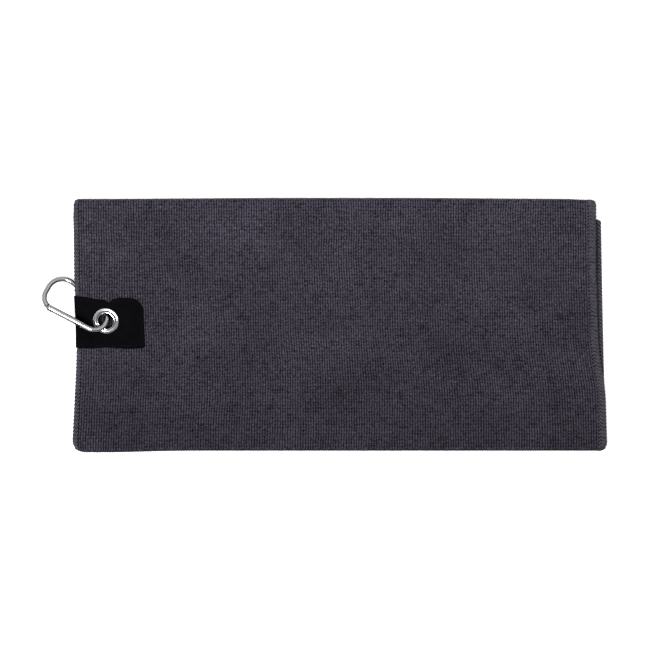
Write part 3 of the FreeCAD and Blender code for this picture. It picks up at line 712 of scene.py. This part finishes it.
def smoothed(path, rounds):
    """Cuts a polyline's corners."""
    for _ in range(rounds):
        a, b = path[:-1], path[1:]
        cut = np.empty((2 * len(a), 3))
        cut[0::2] = a * 0.75 + b * 0.25
        cut[1::2] = a * 0.25 + b * 0.75
        path = np.concatenate([path[:1], cut, path[-1:]])
    return path


# --- cloth pieces ---

def end_edge(end, start, finish):
    """Edge function of a cloth end: 0 on the left, 1 on the right, over a range of s."""
    def edge(t, depth):
        inset = depth / SHEET_WIDTH
        return (1 - inset if end else inset), start + t * (finish - start)
    return edge


def long_edge(length):
    """Edge function of a layer's long free edge."""
    def edge(t, depth):
        return t, length - depth
    return edge


def make_layers():
    front_s = crowded(-FOLD_Y, FOLD_Y, EYE[1], *FRONT_ROWS)
    back_s = crowded(-FOLD_Y, FOLD_Y, EYE[1], *BACK_ROWS)
    front = make_cloth("front_cloth", front_place, 1, front_s, back_s, lambda s: s, hole=True)
    rows, few = (fold_rows(INNER_LENGTH, count) for count in LAYER_ROWS)
    inner = make_cloth("inner_cloth", inner_place, 1, rows, few, lambda s: FOLD_Y + s)
    rows, few = (fold_rows(OUTER_LENGTH, count) for count in LAYER_ROWS)
    outer = make_cloth("outer_cloth", outer_place, -1, rows, few, lambda s: -FOLD_Y - s)
    return front, inner, outer


def make_hems():
    """Overlocked thread along every cut edge, each on its own layer."""
    width = 2 * FOLD_Y
    full = [(0.0, 1.0, width)]
    below_tab = (TAB_BOTTOM - MM + FOLD_Y) / width
    above_tab = (TAB_TOP + MM + FOLD_Y) / width
    round_tab = [(0.0, below_tab, below_tab * width), (above_tab, 1.0, (1 - above_tab) * width)]
    along_inner = [(0.0, 1.0, INNER_LENGTH)]
    along_outer = [(0.0, 1.0, OUTER_LENGTH)]
    along_sheet = [(*LONG_RUN, SHEET_WIDTH)]
    rows = (
        ("front_left", front_place, 1, end_edge(0, -FOLD_Y, FOLD_Y), round_tab),
        ("front_right", front_place, 1, end_edge(1, -FOLD_Y, FOLD_Y), full),
        ("inner_left", inner_place, 1, end_edge(0, 0, INNER_LENGTH), along_inner),
        ("inner_right", inner_place, 1, end_edge(1, 0, INNER_LENGTH), along_inner),
        ("outer_left", outer_place, -1, end_edge(0, 0, OUTER_LENGTH), along_outer),
        ("outer_right", outer_place, -1, end_edge(1, 0, OUTER_LENGTH), along_outer),
        ("inner_long", inner_place, 1, long_edge(INNER_LENGTH), along_sheet),
        ("outer_long", outer_place, -1, long_edge(OUTER_LENGTH), along_sheet),
    )
    hems = {}
    for label, place, face, edge, runs in rows:
        side = label.split("_")[1]
        hems[label] = overlock(label + "_overlock", place, face, edge, runs, LOCK_BAND[side], LOCK_SLANT[side])
    for label, hem in hems.items():
        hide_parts(label + "_edging")
        if label.startswith("outer"):
            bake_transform(hem)
        else:
            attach(hem, "towel")
    return hems


# --- tab ---

TAB_OFFSET = CLOTH / 2 + TAPE_GAP + TAPE / 2
TAB_FACE = TAB_END - left_end(EYE[1])
TAB_TURN = math.pi * TAB_OFFSET
TAB_LENGTH = 2 * TAB_FACE + TAB_TURN


def panel_height(x, y):
    return drape(x, y) + CLOTH / 2 + wave(x, y)


def panel_frame(x, y):
    """Point on the middle of the front layer, its unit normal, and its unit tangent along X."""
    slope_x = (panel_height(x + STEP, y) - panel_height(x - STEP, y)) / (2 * STEP)
    slope_y = (panel_height(x, y + STEP) - panel_height(x, y - STEP)) / (2 * STEP)
    normal = np.stack([-slope_x, -slope_y, np.ones_like(x)], -1)
    tangent = np.stack([np.ones_like(x), np.zeros_like(x), slope_x], -1)
    point = np.stack([x, y, panel_height(x, y)], -1)
    return (point, normal / np.linalg.norm(normal, axis=-1, keepdims=True),
            tangent / np.linalg.norm(tangent, axis=-1, keepdims=True))


def tab_edges(x):
    """Y of the tab's lower and upper edges."""
    fall, start, end = TAB_FALL
    depth, place, width = TAB_DIP
    swell, foot, top = TAB_SWELL
    high = TAB_TOP - fall * smooth(x, start, end) - depth * np.exp(-(((x - place) / width) ** 2))
    high = high + swell * smooth(x, foot, top)
    ripple, phase, stretch = TAB_RIPPLE
    return TAB_BOTTOM + ripple * np.sin((x - phase) / stretch), high


def tab_place(s, w):
    """Middle of the tape. s runs along its face, round the towel's end and along its back; w across it."""
    s, w = np.broadcast_arrays(s, w)
    front = np.clip(s / TAB_FACE, 0, 1)
    back = np.clip((TAB_LENGTH - s) / TAB_FACE, 0, 1)
    reach = np.where(s < TAB_LENGTH / 2, front, back)
    rough_y = TAB_BOTTOM + (TAB_TOP - TAB_BOTTOM) * w
    left = left_end(rough_y)
    end = TAB_END - TAB_LEAN * (rough_y - TAB_BOTTOM)
    x = end + (left - end) * reach
    low, high = tab_edges(x)
    y = low + (high - low) * w
    x, y = pull_corner(x, y, end, 1, high, 1, TAB_CORNER_R["upper"])
    x, y = pull_corner(x, y, end, 1, low, -1, TAB_CORNER_R["lower"])
    angle = np.clip((s - TAB_FACE) / TAB_OFFSET, 0, math.pi)[..., None]
    point, normal, tangent = panel_frame(x, y)
    return point + TAB_OFFSET * (np.cos(angle) * normal - np.sin(angle) * tangent)


def make_tab():
    turn = np.linspace(TAB_FACE, TAB_FACE + TAB_TURN, TAB_TURN_ROWS)
    face = crowded(0, TAB_FACE, TAB_END - EYE[0], *TAB_ROWS)
    places = np.concatenate([face[:-1], turn, (TAB_LENGTH - face[:-1])[::-1]])
    across = crowded(0, 1, TAB_MIDDLE, *TAB_COLUMNS)
    s, w = places[:, None], across[None, :]
    middle = tab_place(s, w)
    along = tab_place(s + STEP, w) - tab_place(s - STEP, w)
    aside = STEP / (TAB_TOP - TAB_BOTTOM)
    beside = tab_place(s, w + aside) - tab_place(s, w - aside)
    normal = np.cross(beside, along)
    normal /= np.linalg.norm(normal, axis=-1, keepdims=True)
    selvedge = 1 - SELVEDGE[0] * np.exp(-(np.minimum(w, 1 - w) / SELVEDGE[1]) ** 2)
    away, distance = off_axis(middle)
    inside = distance < EYE_HOLE
    rows, cols = distance.shape
    faces = grid_faces(rows, cols, 0)
    gone = inside.reshape(-1)[faces].any(1)
    rim = np.zeros(rows * cols, bool)
    rim[faces[gone]] = True
    rim = rim.reshape(rows, cols) & ~inside
    half = np.where(rim, 0.0, TAPE / 2 * selvedge)[..., None]
    snapped = np.where(rim[..., None], middle + (EYE_HOLE / distance - 1)[..., None] * away, middle)
    skins = [(snapped + normal * half).reshape(-1, 3), (snapped - normal * half).reshape(-1, 3)]
    count = rows * cols
    loop = np.concatenate([np.arange(cols), np.arange(2 * cols - 1, count, cols),
                           np.arange(count - 2, count - cols - 1, -1), np.arange(count - 2 * cols, 0, -cols)])
    ahead = np.roll(loop, -1)
    walls = np.stack([loop, ahead, ahead + count, loop + count], -1)
    faces = faces[~gone]
    obj = new_mesh("tape_tab", np.concatenate(skins), np.concatenate([faces, faces + count, walls]).tolist())
    spread = np.stack(np.broadcast_arrays(s, w * (TAB_TOP - TAB_BOTTOM)), -1).reshape(-1, 2)
    lay_flat(obj, np.concatenate([spread, spread]))
    bm = bmesh.new()
    bm.from_mesh(obj.data)
    bmesh.ops.remove_doubles(bm, verts=bm.verts, dist=1e-7)
    bm.to_mesh(obj.data)
    bm.free()
    face_outward(obj)
    return obj


def make_tab_stitching():
    """Black seam along three sides of the tab's face."""
    left = left_end(EYE[1])
    right = TAB_END - STITCH_INSET
    low = TAB_BOTTOM + STITCH_INSET
    high = tab_edges(TAB_END)[1] - STITCH_INSET
    lean = TAB_LEAN * (high - low)
    corners = ((left, low), (right, low), (right - lean, high - 2 * STITCH_INSET),
               (right - lean - 2 * STITCH_INSET, high), (left, high))
    arch = (np.sin(np.linspace(0, math.pi, STITCH_POINTS)) ** 0.6 - STITCH_DEPTH) * STITCH_ARCH
    parts = []
    for (x0, y0), (x1, y1) in zip(corners, corners[1:]):
        length = math.hypot(x1 - x0, y1 - y0)
        count = max(int(length / STITCH_PITCH), 1)
        reach = STITCH_LENGTH / 2 / length
        for i in range(count):
            t = (i + 0.5) / count + np.linspace(-reach, reach, STITCH_POINTS)
            x, y = x0 + (x1 - x0) * t, y0 + (y1 - y0) * t
            follow = tab_edges(x)[1] - STITCH_INSET - high
            y = y + np.where(y0 + y1 > 1.9 * high, follow, 0)
            point, normal, _ = panel_frame(x, y)
            parts.append(tube(point + normal * (TAB_OFFSET + TAPE / 2 + arch)[:, None], STITCH_R))
    return joined("tab_seam", parts)


# --- spring in the clip's gate ---

def make_spring():
    """Coil along the plunger's line of slide, carried with the gate."""
    joint = joints["plunger_slide"]
    way = np.array(joint["axis"])
    low, high = (np.array(corner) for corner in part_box("gate_spring"))
    middle = (low + high) / 2
    side = np.cross(way, (0, 0, 1))
    side /= np.linalg.norm(side)
    other = np.cross(way, side)
    turns = SPRING_LENGTH / SPRING_PITCH
    along = np.linspace(0, 1, int(turns * SPRING_SEGMENTS) + 1)[:, None]
    turn = 2 * math.pi * turns * along
    round_axis = SPRING_R * (np.cos(turn) * side + np.sin(turn) * other)
    path = middle + way * (along - 0.5) * SPRING_LENGTH + round_axis
    spring = joined("return_spring", [tube(path, SPRING_WIRE_R, 8)])
    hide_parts("gate_spring")
    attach(spring, "gate")
    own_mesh(spring)
    return spring


# --- materials ---

def started(name):
    material = bpy.data.materials.new(name)
    material.use_nodes = True
    tree = material.node_tree
    return material, tree, tree.nodes["Principled BSDF"]


def add(tree, kind, settings=None, **inputs):
    """A new node with its settings, and its inputs set or linked by name."""
    node = tree.nodes.new("ShaderNode" + kind)
    for key, value in (settings or {}).items():
        setattr(node, key, value)
    for key, value in inputs.items():
        wire(tree, node.inputs[key.replace("_", " ")], value)
    return node


def wire(tree, socket, value):
    if isinstance(value, bpy.types.NodeSocket):
        tree.links.new(value, socket)
    else:
        socket.default_value = value


def maths(tree, operation, *values):
    node = tree.nodes.new("ShaderNodeMath")
    node.operation = operation
    for socket, value in zip(node.inputs, values):
        wire(tree, socket, value)
    return node.outputs[0]


def remap(tree, value, low, high, to_low, to_high):
    node = add(tree, "MapRange", None, Value=value, From_Min=low, From_Max=high, To_Min=to_low, To_Max=to_high)
    return node.outputs[0]


def mixed(tree, share, first, second, blend="MIX"):
    node = tree.nodes.new("ShaderNodeMix")
    node.data_type = "RGBA"
    node.blend_type = blend
    wire(tree, node.inputs[0], share)
    wire(tree, node.inputs[6], first)
    wire(tree, node.inputs[7], second)
    return node.outputs[2]


def painted(tree, shader, colour, *shades):
    """Base colour: a colour multiplied by each of the grey shades."""
    shade = shades[0]
    for other in shades[1:]:
        shade = maths(tree, "MULTIPLY", shade, other)
    grey = add(tree, "CombineXYZ", None, X=shade, Y=shade, Z=shade).outputs[0]
    tree.links.new(mixed(tree, 1.0, colour, grey, "MULTIPLY"), shader.inputs["Base Color"])


def finished(shader, **values):
    """Sets the shader's own sockets."""
    for key, value in values.items():
        shader.inputs[key.replace("_", " ")].default_value = value


def speckle(tree, place, size_x, size_y, detail=2.0, rough=0.5):
    """Noise with cells of that size in metres, about 0.5 and mostly within NOISE_RANGE."""
    spread = add(tree, "Mapping", None, Vector=place, Scale=(1 / size_x, 1 / size_y, 1 / size_x))
    node = add(tree, "TexNoise", None, Vector=spread.outputs[0], Scale=1.0, Detail=detail, Roughness=rough)
    return node.outputs["Fac"]


def varied(tree, value, low, high):
    """Noise spread over a range."""
    return remap(tree, value, *NOISE_RANGE, low, high)


def bumped(tree, shader, height, distance, strength):
    node = add(tree, "Bump", None, Height=height, Distance=distance, Strength=strength)
    tree.links.new(node.outputs[0], shader.inputs["Normal"])


def cloth_material():
    """Looped pile: each rib's loops alternate with the next rib's, over uneven tufts and soft clouds. The
    grooves between the ribs carry painted shade, and the colour is painted darker towards the lower fold as
    painted light and shade.
    """
    material, tree, shader = started("ribbed_microfibre")
    place = add(tree, "UVMap", {"uv_map": "sheet"}).outputs[0]
    rib = add(tree, "Attribute", {"attribute_name": "rib"}).outputs["Fac"]
    axes = add(tree, "SeparateXYZ", None, Vector=place)
    drift = speckle(tree, place, *LOOP_DRIFT)
    along = maths(tree, "MULTIPLY_ADD", drift, 2.0, maths(tree, "MULTIPLY", axes.outputs[1], 1 / LOOP_PITCH))
    wave_along = maths(tree, "SINE", maths(tree, "MULTIPLY", along, 2 * math.pi))
    parity = maths(tree, "SINE", maths(tree, "MULTIPLY", axes.outputs[0], math.pi * RIBS / SHEET_WIDTH))
    loops = maths(tree, "MULTIPLY", wave_along, parity)
    tufts = speckle(tree, place, *TUFTS)
    # painted shade in the grooves between the ribs, coming and going with the loops along them
    groove = maths(tree, "MULTIPLY_ADD", wave_along, GROOVE_WAVE, remap(tree, rib, *GROOVE_RIBS, 0.0, 1.0))
    painted(
        tree, shader, mixed(tree, groove, CLOTH_GROOVE_SHADE, CLOTH_COLOUR),
        remap(tree, loops, -1, 1, *LOOP_SHADE),
        remap(tree, tufts, *TUFT_RANGE, *TUFT_SHADE),
        varied(tree, speckle(tree, place, *PATCHES), *PATCH_SHADE),
        varied(tree, speckle(tree, place, *CLOUDS), *CLOUD_SHADE),
        # painted light and shade: darker towards the lower fold, lighter towards the upper
        remap(tree, axes.outputs[1], -FOLD_Y, FOLD_Y, *PAINTED_LIGHT_FADE),
    )
    bumped(tree, shader, maths(tree, "MULTIPLY_ADD", loops, 0.25, tufts), PILE_BUMP, 0.8)
    finished(shader, Roughness=0.92, Specular_IOR_Level=0.06, Sheen_Weight=0.07, Sheen_Roughness=0.45,
             Sheen_Tint=SHEEN_TINT)
    return material


def thread_material(name, colour, twist):
    """Twisted thread, seen as fine slanting strands."""
    material, tree, shader = started(name)
    place = add(tree, "TexCoord").outputs["Object"]
    strands = speckle(tree, place, twist, twist, 2.0, 0.6)
    fuzz = speckle(tree, place, 4 * twist, 4 * twist, 3.0, 0.6)
    painted(tree, shader, colour, varied(tree, strands, 0.65, 1.3), varied(tree, fuzz, 0.85, 1.12))
    bumped(tree, shader, strands, THREAD_BUMP, 0.7)
    finished(shader, Roughness=0.85, Specular_IOR_Level=0.06, Sheen_Weight=0.04)
    return material


def tape_material():
    """Black plain-woven tape with fine cross ribs."""
    material, tree, shader = started("black_tape")
    place = add(tree, "UVMap", {"uv_map": "sheet"}).outputs[0]
    axes = add(tree, "SeparateXYZ", None, Vector=place)
    warp = maths(tree, "SINE", maths(tree, "MULTIPLY", axes.outputs[1], 2 * math.pi / WARP_PITCH))
    weft = maths(tree, "SINE", maths(tree, "MULTIPLY", axes.outputs[0], 2 * math.pi / WEFT_PITCH))
    weave = maths(tree, "MULTIPLY", warp, weft)
    slubs = speckle(tree, place, *SLUBS)
    painted(tree, shader, TAPE_COLOUR, remap(tree, weave, -1, 1, 0.7, 1.3), varied(tree, slubs, 0.75, 1.25),
            varied(tree, speckle(tree, place, *TAPE_CLOUDS), 0.8, 1.2))
    bumped(tree, shader, maths(tree, "MULTIPLY_ADD", slubs, 0.5, weave), TAPE_BUMP, 0.6)
    finished(shader, Roughness=0.9, Specular_IOR_Level=0.035)
    return material


def metal_material(name, colour, roughness, scratch, grain):
    """Plated or polished metal with fine scratches, slightly worn patches and a painted dark reflection on its
    flanks.
    """
    material, tree, shader = started(name)
    place = add(tree, "TexCoord").outputs["Object"]
    wear = speckle(tree, place, *WEAR)
    lines = speckle(tree, place, *grain, 2.0, 0.7)
    rough = maths(tree, "MULTIPLY", varied(tree, wear, 0.75, 1.35), varied(tree, lines, 0.85, 1.15))
    tree.links.new(maths(tree, "MULTIPLY", rough, roughness), shader.inputs["Roughness"])
    # painted dark reflection: colour darkened where the surface turns from level towards upright, facing up or
    # down alike
    up = add(tree, "SeparateXYZ", None, Vector=add(tree, "NewGeometry").outputs["Normal"]).outputs[2]
    flank = remap(tree, maths(tree, "ABSOLUTE", up), *FLANK_RANGE, *FLANK_SHADE)
    painted(tree, shader, colour, varied(tree, wear, 0.93, 1.04), flank)
    bumped(tree, shader, lines, scratch, 0.12)
    finished(shader, Metallic=1.0, Specular_Tint=METAL_EDGE_TINT)
    return material


def floor_material():
    material, tree, shader = started("studio_floor")
    place = add(tree, "TexCoord").outputs["Object"]
    painted(tree, shader, FLOOR_COLOUR, varied(tree, speckle(tree, place, *FLOOR_CLOUDS), 0.985, 1.0))
    finished(shader, Roughness=0.9, Specular_IOR_Level=0.1, Emission_Color=(1, 1, 1, 1),
             Emission_Strength=FLOOR_GLOW)
    return material


def wear_material(obj, material):
    obj.data.materials.clear()
    obj.data.materials.append(material)
    for slot in obj.material_slots:
        slot.link = "OBJECT"
        slot.material = material


def dress_metal():
    metals = {name: metal_material(name, *look) for name, look in METALS.items()}
    for node, metal in WORN.items():
        wear_material(frame["nodes"][node], metals[metal])
    make_spring().data.materials.append(metals["spring_steel"])


# --- studio ---

def make_floor():
    corners = [(FLOOR_HALF * x, FLOOR_HALF * y, 0) for x, y in ((-1, -1), (1, -1), (1, 1), (-1, 1))]
    obj = new_mesh("floor", corners, [(0, 1, 2, 3)])
    obj.location.z = FLOOR_DROP
    obj.data.materials.append(floor_material())


def make_key_light():
    """One soft lamp, aimed at the frame's origin."""
    light = bpy.data.lights.new("key", "AREA")
    light.shape = "DISK"
    light.size = KEY_SIZE
    light.energy = KEY_POWER
    obj = bpy.data.objects.new("key", light)
    obj.location = KEY_PLACE
    obj.rotation_euler = Vector(KEY_PLACE).to_track_quat("Z", "Y").to_euler()
    bpy.context.scene.collection.objects.link(obj)


def make_surround():
    """Studio all round: its grey goes by height and its strength by side."""
    world = bpy.data.worlds.new("studio")
    world.use_nodes = True
    tree = world.node_tree
    way = add(tree, "SeparateXYZ", None, Vector=add(tree, "TexCoord").outputs["Generated"])
    ramp = add(tree, "ValToRGB", None, Fac=way.outputs[2])
    ramp.color_ramp.elements[0].color = (1, 1, 1, 1)
    ramp.color_ramp.elements[1].color = (SKY_TOP, SKY_TOP, SKY_TOP, 1)
    for place, grey in SKY:
        ramp.color_ramp.elements.new(place).color = (grey, grey, grey, 1)
    background = tree.nodes["Background"]
    wire(tree, background.inputs["Color"], ramp.outputs[0])
    wire(tree, background.inputs["Strength"], remap(tree, way.outputs[1], *SIDES_Y, *SIDES))
    scene = bpy.context.scene
    scene.world = world
    scene.view_settings.view_transform = "Standard"


def make_camera():
    lens = bpy.data.cameras.new("camera")
    lens.lens = CAMERA_LENS
    lens.sensor_width = CAMERA_SENSOR
    obj = bpy.data.objects.new("camera", lens)
    obj.location = (0, 0, PANEL_Z + CLOTH + VIEW_WIDTH * CAMERA_LENS / CAMERA_SENSOR)
    bpy.context.scene.collection.objects.link(obj)
    bpy.context.scene.camera = obj


def main():
    front, inner, outer = make_layers()
    cloth = cloth_material()
    for layer in (front, inner, outer):
        layer.data.materials.append(cloth)
    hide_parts("front_panel")
    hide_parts("upper_fold", "inner_flap")
    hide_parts("lower_fold", "outer_flap")
    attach(front, "towel")
    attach(inner, "towel")
    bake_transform(outer)
    hems = make_hems()
    thread = thread_material("hem_thread", HEM_COLOUR, HEM_TWIST)
    # the second material of each hem: painted shadow, the near-black of the beads between its thread loops
    shadow_paint = thread_material("hem_pit", SHADOW_BEAD_COLOUR, HEM_TWIST)
    for hem in hems.values():
        hem.data.materials.append(thread)
        hem.data.materials.append(shadow_paint)
    tab = make_tab()
    tab.data.materials.append(tape_material())
    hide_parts("hang_tab")
    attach(tab, "towel")
    seam = make_tab_stitching()
    seam.data.materials.append(thread_material("tab_thread", SEAM_COLOUR, SEAM_TWIST))
    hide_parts("tab_stitching")
    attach(seam, "towel")
    dress_metal()
    make_floor()
    make_key_light()
    make_surround()
    make_camera()


main()
